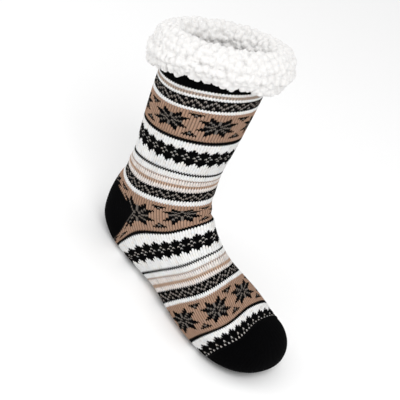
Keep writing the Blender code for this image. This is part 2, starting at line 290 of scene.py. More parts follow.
def surface(place, wale):
    """Points of the form and the directions out of it, at places from the collar and at wales."""
    row = np.clip(place / END * (GRID_ROWS - 1), 0, GRID_END)
    column = np.mod(wale / WALES * GRID_COLUMNS, GRID_COLUMNS)
    i, j = row.astype(int), column.astype(int) % GRID_COLUMNS
    down, right = (row - i)[..., None], (column - np.floor(column))[..., None]
    k = (j + 1) % GRID_COLUMNS

    def mixed(grid):
        above = grid[i, j] * (1 - right) + grid[i, k] * right
        below = grid[i + 1, j] * (1 - right) + grid[i + 1, k] * right
        return above * (1 - down) + below * down

    return mixed(GRID), unit(mixed(NORMALS), TINY)


# Where the courses lie: millimetres from the collar at the back or sole, between, at the inner side,
# between, and at the front. The knit leans forward on the foot's inner side.
COURSES = np.array(
    [
        # row, back, back inner, inner, front inner, front
        (-104.0, 3.0, 3.0, 3.0, 3.0, 3.0),
        (-97.0, 13.5, 13.0, 12.5, 10.5, 9.0),
        (-79.5, 34.0, 34.5, 35.5, 31.5, 28.5),
        (-72.5, 39.5, 41.5, 44.0, 39.5, 37.0),
        (-66.5, 47.5, 50.5, 53.8, 50.5, 46.5),
        (-64.5, 52.5, 55.5, 57.2, 53.0, 50.2),
        (-45.5, 84.5, 86.0, 87.0, 84.0, 80.8),
        (-40.5, 93.5, 95.5, 97.5, 95.0, 93.0),
        (-29.5, 110.0, 111.8, 113.8, 113.0, 109.8),
        (-26.0, 127.0, 127.0, 126.3, 124.0, 123.3),
        (-23.0, 135.0, 135.5, 135.0, 131.8, 130.0),
        (-19.5, 139.5, 141.5, 143.3, 139.0, 135.8),
        (-17.5, 143.5, 146.5, 150.3, 145.0, 140.5),
        (-11.5, 149.5, 152.5, 160.5, 160.5, 152.5),
        (-9.5, 152.5, 156.0, 165.0, 168.5, 163.8),
        (9.5, 236.0, 224.5, 207.5, 205.5, 191.0),
        (14.5, 247.0, 238.0, 224.5, 218.5, 205.5),
        (25.5, 260.0, 252.5, 246.3, 239.0, 225.0),
        (29.0, 270.0, 266.0, 261.0, 253.5, 236.0),
        (32.0, 277.0, 273.5, 269.5, 263.5, 245.5),
        (35.5, 285.0, 283.0, 279.8, 273.5, 258.0),
        (37.5, 290.0, 288.5, 286.0, 281.0, 264.0),
        (43.5, 301.0, 300.0, 298.2, 295.0, 277.5),
        (45.5, 305.0, 304.0, 302.5, 300.0, 283.0),
        (64.5, 336.0, 338.0, 340.3, 341.0, 326.0),
        (69.5, 346.0, 349.0, 352.0, 350.5, 338.0),
        (75.5, 355.0, 358.5, 362.8, 365.0, 350.5),
    ]
)
HEEL_SEAM = 188.0  # place of the heel pocket's two corners, in millimetres
HEEL_REACH = (25.0, 36.0)  # how far the pocket reaches up the back and along the sole
HEEL_POWERS = (3.4, 2.5)
HEEL_CORNERS = (0.80, 0.98)  # under 1 rounds the pocket's corners
HEEL_HALF = 24.0  # half its breadth, in wales
INSTEP_DIP = 11.0  # how much nearer to the collar that seam lies at the front
DIP_POWER = 3
MEASURED_STEPS = 4  # steps between the five measured places of a course
OUTER_EASE = 0.8  # how steeply a course sets off round the outer side


def around(ends, wale):
    """Each course's place at its wales, on a smooth closed line through its five measured places."""
    slopes = np.gradient(ends, axis=-1)
    wale = np.mod(wale, WALES)
    inner = wale <= FRONT_WALE
    step = np.where(inner, wale / (FRONT_WALE / MEASURED_STEPS), 0.0)
    index = np.clip(step.astype(int), 0, MEASURED_STEPS - 1)
    course = np.arange(len(ends))[:, None]
    first = np.where(inner, ends[course, index], ends[:, -1:])
    second = np.where(inner, ends[course, index + 1], ends[:, :1])
    lean = np.where(inner, slopes[course, index], MEASURED_STEPS * OUTER_EASE * slopes[:, -1:])
    next_lean = np.where(inner, slopes[course, index + 1], MEASURED_STEPS * OUTER_EASE * slopes[:, :1])
    share = np.where(inner, step - index, (wale - FRONT_WALE) / FRONT_WALE)
    return cubic(first, second, lean, next_lean, share)


def from_back(wale):
    """A wale as wales either way from the back."""
    return np.mod(wale + FRONT_WALE, WALES) - FRONT_WALE


def seam_place(wale, lower):
    """The heel pocket's edge, and beyond its corners the line where it joins the instep."""
    off = np.abs(from_back(wale))
    share = np.clip(off / HEEL_HALF, 0.0, 1.0)
    side = int(lower)
    reach, power = HEEL_REACH[side] * (1 if lower else -1), HEEL_POWERS[side]
    front = np.clip((off - HEEL_HALF) / (FRONT_WALE - HEEL_HALF), 0.0, 1.0)
    edge = HEEL_SEAM + reach * (1 - share**power) ** HEEL_CORNERS[side]
    return edge - INSTEP_DIP * np.sin(0.5 * math.pi * front) ** DIP_POWER


SPLIT = -0.5  # the course where the pocket is let in, which parts the leg from the foot
KEYS = COURSES[:, 0]
KEY_ROWS = {False: np.append(KEYS[KEYS < SPLIT], SPLIT), True: np.append(SPLIT, KEYS[KEYS > SPLIT])}


def key_places(wale, foot):
    """Places of the leg's or the foot's key courses at each wale: keys by wales."""
    chosen = COURSES[KEYS > SPLIT, 1:] if foot else COURSES[KEYS < SPLIT, 1:]
    wales = np.broadcast_to(wale, (len(chosen), len(wale)))
    places = around(chosen, wales)
    seam = seam_place(wale, foot)[None]
    return np.concatenate([seam, places]) if foot else np.concatenate([places, seam])


TABLE_COLUMNS = 4  # to a wale
TABLE_LAST = TABLE_COLUMNS * WALES
TABLE_WALES = np.linspace(0.0, WALES, TABLE_LAST + 1)
LEAST_SLOPE = 0.05
PLACES = {foot: key_places(TABLE_WALES, foot) for foot in (False, True)}


def rising(x, y):
    """Slopes of a curve that rises through all its keys without overshoot."""
    step, slope = np.diff(x)[:, None], np.diff(y, axis=0) / np.diff(x)[:, None]
    slope = np.maximum(slope, LEAST_SLOPE)
    before, after, left, right = slope[:-1], slope[1:], step[:-1], step[1:]
    inner = 3 * (left + right) / ((2 * right + left) / before + (right + 2 * left) / after)
    return np.concatenate([slope[:1], inner, slope[-1:]])


SLOPES = {foot: rising(KEY_ROWS[foot], PLACES[foot]) for foot in (False, True)}


def course_place(row, wale, foot):
    """Metres from the collar, of a course at a wale."""
    keys, places, slopes = KEY_ROWS[foot], PLACES[foot], SLOPES[foot]
    i = np.clip(np.searchsorted(keys, row) - 1, 0, len(keys) - 2)
    column = np.mod(wale, WALES) * TABLE_COLUMNS
    j = np.minimum(column.astype(int), TABLE_LAST - 1)
    side = column - j

    def at(table, index):
        return table[index, j] * (1 - side) + table[index, j + 1] * side

    step = keys[i + 1] - keys[i]
    share = (row - keys[i]) / step
    return cubic(at(places, i), at(places, i + 1), at(slopes, i), at(slopes, i + 1), share, step) / MM


# How the wales wander round the sock: wales to the front, and their swing round it
TWIST = np.array(
    [
        # row, everywhere, inner side, back
        (-104.0, 1.4, 1.2, 0.0),
        (-55.0, 1.3, 1.3, 0.0),
        (0.0, 0.6, 1.1, 0.0),
        (55.0, -3.1, 2.5, 1.5),
        (78.0, -4.0, 2.7, 1.7),
    ]
)


def twisted(row, wale):
    everywhere, inner, back = (np.interp(row, TWIST[:, 0], TWIST[:, k]) for k in (1, 2, 3))
    angle = 2 * math.pi * wale / WALES
    return wale + everywhere + inner * np.sin(angle) + back * np.cos(angle)


# Creases of the knit: troughs are below zero and ridges above it
CREASES = (
    # start place, start wale, end place, end wale, half width in mm, depth in mm
    (187.0, 36.0, 184.0, 60.0, 5.0, -1.3),
    (179.0, 38.0, 176.0, 58.0, 5.0, 0.6),
    (197.0, 40.0, 194.0, 57.0, 5.5, 0.6),
    (171.0, 30.0, 167.0, 44.0, 5.0, -0.8),
    (206.0, 28.0, 199.0, 40.0, 6.0, -0.7),
    (306.0, 42.0, 298.0, 58.0, 5.0, -1.2),
    (298.0, 44.0, 290.0, 60.0, 5.0, 0.7),
    (322.0, 40.0, 312.0, 56.0, 5.5, -0.8),
    (148.0, -12.0, 151.0, 12.0, 6.0, -1.3),
    (139.0, -9.0, 141.0, 10.0, 6.0, 0.8),
    (156.0, 8.0, 168.0, 22.0, 6.0, -0.8),
    (104.0, 14.0, 109.0, 34.0, 8.0, -0.6),
    (76.0, 40.0, 70.0, 58.0, 8.0, -0.5),
    (120.0, 60.0, 126.0, 84.0, 7.0, -0.8),
    (232.0, 62.0, 224.0, 80.0, 7.0, -0.9),
    (260.0, 26.0, 252.0, 40.0, 8.0, -0.5),
)
WALE_MM = 2.9  # a wale's breadth, for the creases' slant
CREASE_CORE = 0.55  # share of a crease's half length that is fully deep
CREASE_FADE = 0.35  # and the share over which it runs out


def creased(place, wale):
    """How far the knit stands off its form, in metres."""
    way, lift = place * MM, np.zeros(place.shape)
    for start, first_wale, end, last_wale, width, depth in CREASES:
        x = from_back(wale - 0.5 * (first_wale + last_wale)) * WALE_MM
        y = way - 0.5 * (start + end)
        run, rise = 0.5 * (last_wale - first_wale) * WALE_MM, 0.5 * (end - start)
        half = math.hypot(run, rise)
        along = (x * run + y * rise) / half
        off = (y * run - x * rise) / half
        past = np.maximum(np.abs(along) - CREASE_CORE * half, 0.0)
        lift += depth * np.exp(-((off / width) ** 2) - (past / (CREASE_FADE * half)) ** 2)
    return lift / MM


# Yarns
YARNS = {
    "black": (0.0014, 0.0014, 0.0017),
    "white": (0.900, 0.890, 0.875),
    "cream": (0.830, 0.765, 0.725),
    "beige": (0.500, 0.395, 0.320),
    "pale": (0.540, 0.430, 0.370),
    "tan": (0.458, 0.292, 0.206),
    "amber": (0.560, 0.385, 0.280),
    "speck": (0.190, 0.165, 0.145),
    "dust": (0.300, 0.265, 0.240),
    "fleck": (0.480, 0.455, 0.430),
}

# The star, down to its centre, which mirrors below: X is black, o a light speck and . the ground
STAR_REPEAT = 16  # wales from one star's centre to the next
STAR_HALF = 6  # rows and wales from its centre to its edge
STAR = (
    "...X.....X...",
    "...XX...XX...",
    "...XXXoXXX...",
    "XXXoXXoXXoXXX",
    ".XXXoXoXoXXX.",
    "..XXXoXoXXX..",
    "..oooXXXooo..",
)
STAR_MARKS = {"X": "black", "o": "speck", ".": "tan"}
# Between two stars, by row from the stars' centre: half width, and whether its middle is light
DIAMONDS = {7: (2, False), 6: (1, True), 5: (0, False)}

# The flowers, down to their centre, which mirror below: X is black, w white and o a fleck
FLOWER_REPEAT = 4
FLOWERS = ("wwXw", "wXXX", "XXXX", "XXXX", "oXXX", "XXXX", "XoXo")
FLOWER_MARKS = {"X": "black", "w": "white", "o": "fleck"}

# The zigzag: its light wales by row
ZIGZAG_REPEAT = 6
ZIGZAG = {1: (0, 3), 2: (1, 5), 3: (2, 4), 4: (3, 0)}


def from_middle(wale, repeat):
    """Wales either way from the nearest of the repeats, which start at wale 0."""
    return (wale + repeat // 2) % repeat - repeat // 2


def star_yarn(row, wale):
    across = from_middle(wale - STAR_REPEAT // 2, STAR_REPEAT)
    between = from_middle(wale, STAR_REPEAT)
    depth = abs(row)
    half, light = DIAMONDS.get(depth, (-1, False))
    mark = "."
    if depth <= STAR_HALF and abs(across) <= STAR_HALF:
        mark = STAR[STAR_HALF - depth][across + STAR_HALF]
    if mark == "." and abs(between) <= half:
        mark = "o" if light and between == 0 else "X"
    return STAR_MARKS[mark]


def flower_yarn(row, wale):
    marks = FLOWERS[len(FLOWERS) - 1 - abs(row)]
    return FLOWER_MARKS[marks[(wale + FLOWER_REPEAT // 2) % FLOWER_REPEAT]]


def zigzag_yarn(row, wale):
    return "dust" if wale % ZIGZAG_REPEAT in ZIGZAG.get(row, ()) else "black"


BANDS = (
    # first course, last course, rows of stitches, motif or yarn
    (-104.0, -79.5, 24, "black"),
    (-79.5, -77.2, 2, "white"),
    (-77.2, -74.6, 3, "beige"),
    (-74.6, -72.5, 2, "white"),
    (-72.5, -66.5, 6, "zigzag"),
    (-66.5, -64.5, 2, "white"),
    (-64.5, -45.5, 19, "star"),
    (-45.5, -43.7, 2, "black"),
    (-43.7, -40.8, 4, "white"),
    (-40.8, -28.9, 13, "flower"),
    (-28.9, -26.45, 4, "white"),
    (-26.45, -25.55, 1, "black"),
    (-25.55, -23.4, 3, "white"),
    (-23.4, -22.6, 1, "pale"),
    (-22.6, -20.3, 3, "cream"),
    (-20.3, -19.0, 2, "amber"),
    (-19.0, -17.5, 2, "cream"),
    (-17.5, -11.5, 6, "zigzag"),
    (-11.5, -9.5, 2, "white"),
    (-9.5, -0.5, 9, "star_top"),
    (-0.5, 9.5, 10, "star_bottom"),
    (9.5, 10.9, 2, "black"),
    (10.9, 14.0, 4, "white"),
    (14.0, 26.0, 13, "flower"),
    (26.0, 28.55, 4, "white"),
    (28.55, 29.45, 1, "black"),
    (29.45, 31.6, 3, "white"),
    (31.6, 32.4, 1, "pale"),
    (32.4, 34.6, 3, "cream"),
    (34.6, 35.9, 2, "amber"),
    (35.9, 37.5, 2, "cream"),
    (37.5, 43.5, 6, "zigzag"),
    (43.5, 45.5, 2, "white"),
    (45.5, 64.5, 19, "star"),
    (64.5, 66.1, 2, "black"),
    (66.1, 68.8, 4, "white"),
    (68.8, 75.5, 7, "flower_top"),
)
FIRST_ROW = {"zigzag": 0, "star": -9, "star_top": -9, "star_bottom": 0, "flower": -6, "flower_top": -6}


def band_yarn(motif, row, wale):
    """The yarn of a stitch, in a band that is a motif or all of one yarn."""
    if motif.startswith("star"):
        return star_yarn(row, wale)
    if motif.startswith("flower"):
        return flower_yarn(row, wale)
    if motif == "zigzag":
        return zigzag_yarn(row, wale)
    return motif


def bands_of(foot):
    """The course at each edge between rows of stitches, and each stitch's colour."""
    edges, colors = [], []
    for first, last, rows, motif in BANDS:
        if (first >= SPLIT) != foot:
            continue
        edges.extend(np.linspace(first, last, rows, endpoint=False))
        for row in range(rows):
            names = [band_yarn(motif, FIRST_ROW.get(motif, 0) + row, wale) for wale in range(WALES)]
            colors.append([YARNS[name] for name in names])
        end = last
    return np.append(edges, end), np.array(colors)


STITCH_SPREAD = 0.05  # how much single stitches differ in lightness
WALE_SPREAD = 0.025  # and whole wales
WARM_SPREAD = 0.02  # how much stitches differ from red to blue
LIGHTEST = 0.9


def varied(colors, rng):
    """Colours that differ a little from stitch to stitch and from wale to wale."""
    stitch = 1 + STITCH_SPREAD * rng.standard_normal(colors.shape[:2])
    wale = 1 + WALE_SPREAD * rng.standard_normal((1, colors.shape[1]))
    warm = 1 + WARM_SPREAD * rng.standard_normal(colors.shape[:2])
    made = colors * (stitch * wale)[..., None]
    made[..., 0] *= warm
    made[..., 2] /= warm
    return np.clip(made, 0.0, LIGHTEST)


def grid_mesh(name, points, wrap, face_colors, hollow_shade, repeats):
    """A mesh of quads over a grid of points, with a colour for each face and a painted shade for each
    point.
    """
    rows, columns = points.shape[:2]
    last = columns if wrap else columns - 1
    i, j = np.meshgrid(np.arange(rows - 1), np.arange(last), indexing="ij")
    k = (j + 1) % columns
    above, below = i * columns, (i + 1) * columns
    quads = np.stack([above + j, below + j, below + k, above + k], axis=-1).reshape(-1, 4)
    mesh = bpy.data.meshes.new(name)
    mesh.vertices.add(rows * columns)
    mesh.vertices.foreach_set("co", points.reshape(-1).astype(np.float32))
    mesh.loops.add(len(quads) * 4)
    mesh.polygons.add(len(quads))
    mesh.polygons.foreach_set("loop_start", np.arange(0, len(quads) * 4, 4, dtype=np.int32))
    mesh.polygons.foreach_set("vertices", quads.reshape(-1).astype(np.int32))
    mesh.update(calc_edges=True)
    corners = np.ones((len(quads), 4, 4), dtype=np.float32)
    corners[..., :3] = face_colors.reshape(-1, 1, 3)
    yarn = mesh.color_attributes.new(name="yarn", type="FLOAT_COLOR", domain="CORNER")
    yarn.data.foreach_set("color", corners.reshape(-1))
    shade = mesh.attributes.new(name="hollow_shade", type="FLOAT", domain="POINT")
    shade.data.foreach_set("value", hollow_shade.reshape(-1).astype(np.float32))
    v, u = i / (rows - 1), j / last
    down, right = 1 / (rows - 1), 1 / last
    steps = ((0, 0), (0, 1), (1, 1), (1, 0))
    corner_uv = np.stack([np.stack([u + a * right, v + b * down], axis=-1) for a, b in steps], axis=2)
    layer = mesh.uv_layers.new(name="knit")
    layer.data.foreach_set("uv", (corner_uv * np.array(repeats)).reshape(-1).astype(np.float32))
    mesh.shade_smooth()
    mesh.validate()
    made = bpy.data.objects.new(name, mesh)
    bpy.context.scene.collection.objects.link(made)
    return made


def stitch_shape(rows, columns):
    """Row shifts, heights and painted shades of a field of stitches: points are half rows by quarter wales.
    """
    u = np.arange(columns) % STITCH_COLUMNS
    half_rows = np.arange(2 * rows + 1)[:, None]
    lean = STITCH_SHEAR * (np.abs(2 * u / STITCH_COLUMNS - 1) - 0.5)
    inside = np.clip(np.minimum(half_rows, 2 * rows - half_rows), 0, 1)
    rib = np.array(RIB)[u]
    swell = np.where(half_rows % 2 == 1, ROW_SWELL, -ROW_SWELL)
    hollow_shade = np.array(RIB_HOLLOW_SHADE)[u] + ROW_HOLLOW_SHADE * (swell < 0)
    return lean * inside, rib + swell * (rib > 0), np.clip(hollow_shade, 0, 1)


def face_values(values, shape):
    """The value of the face beside each point."""
    rows = np.minimum(np.arange(shape[0]), values.shape[0] - 1)
    columns = np.minimum(np.arange(shape[1]), values.shape[1] - 1)
    return values[rows[:, None], columns[None]]


def stitched(name, rows, wales, wrap, place_of, colors, rise, proud):
    """Lays stitches on the form: place_of gives places and wales from fine rows and wales."""
    columns = wales * STITCH_COLUMNS + (0 if wrap else 1)
    shift, height, hollow_shade = stitch_shape(rows, columns)
    fine = 0.5 * np.arange(2 * rows + 1)[:, None] + shift
    wale = np.broadcast_to(np.arange(columns) / STITCH_COLUMNS - 0.5, fine.shape)
    place, turned = place_of(fine, wale)
    points, normals = surface(place, turned)
    scale = rise(place, turned) if callable(rise) else rise
    lift = height * scale + proud + creased(place, turned)
    points = points + normals * lift[..., None]
    points[..., 2] = np.maximum(points[..., 2], FLOOR_GAP)
    faces = np.repeat(np.repeat(colors, 2, axis=0), STITCH_COLUMNS, axis=1)
    light = faces @ LUMINANCE
    mid_tone = np.clip(4 * light * (1 - light), 0.0, 1.0) ** 2  # 1 for a yarn neither dark nor pale
    # painted shade between the wales, weighted to yarns neither dark nor pale
    shaded = faces * (1 + np.tile(RIB_SHADES, wales)[None] * mid_tone)[..., None]
    pale = np.interp(face_values(light, hollow_shade.shape), PALE_LIGHT, (0.0, 1.0))
    hollow_shade = hollow_shade * (1 - PALE_FILL * pale)
    return grid_mesh(name, points, wrap, shaded, hollow_shade, (wales / UV_STITCHES, rows / UV_STITCHES))


def knit_tube(name, foot, rng):
    edges, colors = bands_of(foot)
    rows = len(edges) - 1

    def place_of(fine, wale):
        course = np.interp(fine, np.arange(rows + 1), edges)
        turned = twisted(course, wale)
        return course_place(course, turned, foot), turned

    return stitched(name, rows, WALES, True, place_of, varied(colors, rng), STITCH_RISE, PROUD)


def plain(rows, wales, yarn):
    return np.broadcast_to(np.array(YARNS[yarn]), (rows, wales, 3)).copy()


HEEL_ROWS = 38
TOE_ROWS = 52
POCKET_WALES = 48
TUCK = 0.8  # how far a pocket's edge runs under its neighbour, in millimetres
HEEL_FULL = 45.0  # millimetres of the pocket's height from which its stitches stand fully up
EDGE_EASE = 2.0  # millimetres over which they rise from the pocket's edge
EDGE_RISE = 0.3  # their share of the rise at the edge
TOE_SPAN = (0.004, 0.996)  # the toe pocket's outermost wales stop short of a point
TOE_FULL = 1.4  # how soon its stitches stand fully up from its two corners
TOE_RIM = (1.02, 0.05, 0.2)  # where they stand lowest, over how much they rise, and their least share


def heel_pocket(rng):
    def place_of(fine, wale):
        turned = wale + 0.5 - HEEL_HALF
        upper, lower = seam_place(turned, False) - TUCK, seam_place(turned, True) + TUCK
        return (upper + (lower - upper) * fine / HEEL_ROWS) / MM, turned

    def rise(place, turned):
        upper, lower = seam_place(turned, False), seam_place(turned, True)
        edge = np.minimum(place * MM - upper, lower - place * MM)
        full = POCKET_RISE * np.clip((lower - upper) / HEEL_FULL, 0.0, 1.0)
        return full * np.clip(edge / EDGE_EASE + EDGE_RISE, 0.0, 1.0)

    colors = varied(plain(HEEL_ROWS, POCKET_WALES, "black"), rng)
    return stitched("heel_pocket", HEEL_ROWS, POCKET_WALES, False, place_of, colors, rise, POCKET_PROUD)


def toe_edge(wale):
    """Place in millimetres of the toe pocket's edge."""
    return course_place(np.full(wale.shape, COURSES[-1, 0]), wale, True) * MM


def toe_pocket(rng):
    def place_of(fine, wale):
        across = -np.cos(math.pi * np.clip((wale + 0.5) / POCKET_WALES, *TOE_SPAN))
        along = (2 * fine / TOE_ROWS - 1) * np.sqrt(1 - across**2)
        turned = np.arctan2(across, -along) * WALES / (2 * math.pi)
        edge = toe_edge(turned) - TUCK
        reach = np.hypot(across, along)
        return (END * MM - reach * (END * MM - edge)) / MM, turned

    def rise(place, turned):
        across = np.sin(2 * math.pi * turned / WALES)
        reach = (END * MM - place * MM) / (END * MM - toe_edge(turned))
        lens = np.sqrt(np.clip(1 - (across * reach) ** 2, 0.0, 1.0))
        rim, ease, least = TOE_RIM
        full = POCKET_RISE * np.clip(TOE_FULL * lens, 0.0, 1.0)
        return full * np.clip((rim - reach) / ease, least, 1.0)

    colors = varied(plain(TOE_ROWS, POCKET_WALES, "black"), rng)
    return stitched("toe_pocket", TOE_ROWS, POCKET_WALES, False, place_of, colors, rise, POCKET_PROUD)


LINK_LOOPS = 62
LINK_LOOP_STEPS = 4
LINK_SIDES = 8
LINK_WALES = (21.5, 76.0)  # over the toe's top, from corner to corner
LINK_PAST = 1.2  # millimetres past the pocket's edge
LINK_RISE = 0.0009
LINK_LOW = 0.75  # its share of the rise between two loops
LINK_LOOP = 0.4  # and what a loop adds
LINK_BREADTH = 1.35  # its breadth to its rise
LINK_LIFT = 0.0003
LINK_TAPER = 8.0  # steps over which its ends thin out
LINK_TIP = 0.05  # their share of its size


def toe_link(rng):
    """The linking that closes the toe: a low rope of loops across its top."""
    steps = LINK_LOOPS * LINK_LOOP_STEPS + 1
    wale = np.linspace(*LINK_WALES, steps)
    place = (toe_edge(wale) + LINK_PAST) / MM
    centre, normal = surface(place, wale)
    side = np.cross(unit(np.gradient(centre, axis=0)), normal)
    beat = np.abs(np.sin(np.linspace(0.0, LINK_LOOPS * math.pi, steps)))
    ends = np.clip(np.minimum(np.arange(steps), np.arange(steps)[::-1]) / LINK_TAPER, LINK_TIP, 1.0)
    angle = np.linspace(0.0, 2 * math.pi, LINK_SIDES, endpoint=False)
    size = (LINK_RISE * (LINK_LOW + LINK_LOOP * beat) * ends)[:, None, None]
    points = (
        (centre + normal * creased(place, wale)[:, None])[:, None]
        + side[:, None] * (np.cos(angle)[None, :, None] * size * LINK_BREADTH)
        + normal[:, None] * (np.sin(angle)[None, :, None] * size + LINK_LIFT)
    )
    points[..., 2] = np.maximum(points[..., 2], FLOOR_GAP)
    colors = varied(plain(steps - 1, LINK_SIDES, "black"), rng)
    # painted shade where the rope sinks between two loops
    hollow_shade = (1 - beat)[:, None] * np.ones(LINK_SIDES)
    return grid_mesh("toe_link", points, True, colors, hollow_shade, repeats=(1.0, 20.0))


# Sherpa
CUFF_COLUMNS = 420
CUFF_RING = 168
SEAT_IN, SEAT_OUT = -SEAT_WALL - SEAT_GAP, SEAT_GAP  # the band's two faces on the knit
ROLL_SHARE = 0.4  # of the hem's round, added to the roll over the collar
HEM_SOFT = 9.0  # how softly the hem's line runs, in degrees
HEM_DROPS = (
    # degrees from the back over the inner side, share of the drop
    (0.0, 1.00), (35.0, 0.85), (60.0, 0.45), (85.0, 0.08), (120.0, 0.00), (170.0, 0.08),
    (205.0, 0.50), (240.0, 0.55), (300.0, 0.75),
)
LUMPS = (
    # pitch and rise in metres, reach as a share of the pitch, dip between as a share of the rise
    (0.0130, 0.0013, 0.70, 0.45),
    (0.0066, 0.0026, 0.68, 0.60),
    (0.0034, 0.0009, 0.72, 0.50),
)
LINING_LUMPS = (
    (0.0100, 0.0014, 0.66, 0.3),
    (0.0045, 0.0010, 0.68, 0.3),
)
LUMP_TRIES = 40000
LUMP_GAP = 0.84  # least distance between two lumps, as a share of their pitch
LUMP_PILE = 0.2  # the share of the pile's height from which they grow
LUMP_LEAST = 0.7  # the least share of the rise that a lump has
LUMP_SPREAD = 0.6  # and how much more one can have
NEAR_CELLS = list(product((-2, -1, 0, 1, 2), repeat=3))
CURL = 0.00020  # how far single curls stand off the pile
HEM_WAVES = (
    # waves round the hem, rise in metres, phase
    (3, 0.0009, 1.0),
    (7, 0.0011, 0.4),
    (13, 0.0010, 2.1),
    (23, 0.0008, 4.0),
    (31, 0.0010, 5.0),
    (47, 0.0008, 1.3),
)
WAVE_START = 0.006  # how far below the collar the waves begin
WAVE_GROW = 0.020  # and over how much they grow
WAVE_FACE = 0.001  # how far off the knit they are full
WAVE_INSIDE = 0.3  # their share nearer to the knit
PILE_SINK = 0.0017  # how far the pile's mean face lies inside the solid's
PILE_BARE = 0.0004  # how far off the knit the pile begins
PILE_GROW = 0.0040  # and over how much it grows
SEAT_BARE = 0.0006  # how far off the knit the band's seat has none
PILE_SHADE = (0.35, 0.0060)  # painted shade where the pile is level, and the rise that clears a full one
PILE_COLOR = 0.9
LINING_ROWS, LINING_COLUMNS = 190, 240
LINING_START = 0.022  # from the collar
LINING_STOP = 0.010  # from the toe's tip
LINING_OFF = 0.0060  # how far the lining's face lies inside the knit's
LINING_SHARE = 0.55  # and at most, as a share of the way to the middle
# painted shade of the lining where its pile is level, and the rise that clears a full one
LINING_SHADE = (0.40, 0.0040)


def cuff_profile():
    """The band's closed section as (out from the knit's face, up from the collar)."""
    face_in, face_out = SEAT_IN - LINING_LOFT, SEAT_OUT + CUFF_LOFT
    hem_level, roll = CUFF_RISE - CUFF_HEIGHT + HEM_ROUND, CUFF_RISE + ROLL_SHARE * HEM_ROUND
    roll_level, inner_round = CUFF_RISE - roll, 0.5 * LINING_LOFT
    lining_level = -LINING_DROP + inner_round
    points = []

    def arc(centre, radii, start, end, steps):
        for step in range(steps + 1):
            angle = math.radians(start + (end - start) * step / steps)
            points.append((centre[0] + radii[0] * math.cos(angle), centre[1] + radii[1] * math.sin(angle)))

    def line(start, end, steps, bulge=0.0):
        for step in range(1, steps):
            share = step / steps
            out = start[0] + (end[0] - start[0]) * share + bulge * math.sin(math.pi * share)
            points.append((out, start[1] + (end[1] - start[1]) * share))

    arc((0.5 * (SEAT_OUT + face_out), hem_level), (0.5 * CUFF_LOFT, HEM_ROUND), 180, 360, 16)
    line((face_out, hem_level), (face_out, roll_level), 16, CUFF_BULGE)
    arc((0.5 * (face_in + face_out), roll_level), (0.5 * (face_out - face_in), roll), 0, 180, 24)
    line((face_in, roll_level), (face_in, lining_level), 12)
    arc((0.5 * (face_in + SEAT_IN), lining_level), (inner_round, inner_round), 180, 360, 10)
    line((SEAT_IN, lining_level), (SEAT_IN, SEAT_RISE), 4)
    points.extend([(SEAT_IN, SEAT_RISE), (SEAT_OUT, SEAT_RISE)])
    line((SEAT_OUT, SEAT_RISE), (SEAT_OUT, hem_level), 5)
    return np.array(points)


def lump_field(points, pile, lumps, rng):
    """Rises of a curly pile at each point: domes about scattered centres, with dips between them."""
    flat = points.reshape(-1, 3)
    weight = pile.reshape(-1)
    lift = np.zeros(len(flat))
    for pitch, rise, reach, dip in lumps:
        order = rng.permutation(np.flatnonzero(weight > LUMP_PILE))[:LUMP_TRIES]
        cell = pitch * 0.5
        taken, centres = {}, []
        for index in order:
            place = flat[index]
            key = tuple((place // cell).astype(int))
            near = [
                other
                for dx, dy, dz in NEAR_CELLS
                for other in taken.get((key[0] + dx, key[1] + dy, key[2] + dz), ())
            ]
            if all(((place - other) ** 2).sum() > (LUMP_GAP * pitch) ** 2 for other in near):
                taken.setdefault(key, []).append(place)
                centres.append(place)
        tree = kdtree.KDTree(len(centres))
        for index, place in enumerate(centres):
            tree.insert(place, index)
        tree.balance()
        strength = LUMP_LEAST + LUMP_SPREAD * rng.random(len(centres))
        nearest = [tree.find(place) for place in flat]
        distance = np.array([found[2] for found in nearest])
        own = strength[np.array([found[1] for found in nearest])]
        dome = np.clip(1 - (distance / (reach * pitch)) ** 2, -dip, 1.0)
        lift += rise * own * dome
    return (lift * weight).reshape(points.shape[:2])


def ring_normals(points):
    """Directions out of a grid of points that wraps both ways."""
    across = np.roll(points, -1, axis=1) - np.roll(points, 1, axis=1)
    down = np.roll(points, -1, axis=0) - np.roll(points, 1, axis=0)
    normals = unit(np.cross(across, down), TINY)
    return normals * np.sign((normals * (points - points.mean(axis=0, keepdims=True))).sum())


def shaft_frame(up):
    """The knit's outline at a way up from the collar, with the ways out of it and up it."""
    section = FORM.raised(up)
    ring = ring_of(section, CUFF_COLUMNS)
    slope = math.atan2(section.front_z - section.back_z, section.front_x - section.back_x)
    rise = np.broadcast_to(np.array([-math.sin(slope), 0.0, math.cos(slope)]), ring.shape)
    away = unit(np.cross(np.roll(ring, -1, axis=0) - np.roll(ring, 1, axis=0), rise))
    return ring, away * np.sign((away * (ring - ring.mean(axis=0))).sum()), rise


def hem_drops(angle):
    """How much lower the hem hangs round the leg, as shares of the whole drop."""
    table, degrees = np.array(HEM_DROPS), np.arange(360.0)
    fine = np.interp(degrees, table[:, 0], table[:, 1], period=360.0)
    bell = np.exp(-0.5 * (np.minimum(degrees, 360.0 - degrees) / HEM_SOFT) ** 2)
    soft = np.real(np.fft.ifft(np.fft.fft(fine) * np.fft.fft(bell / bell.sum())))
    return np.interp(np.degrees(angle), degrees, soft, period=360.0)


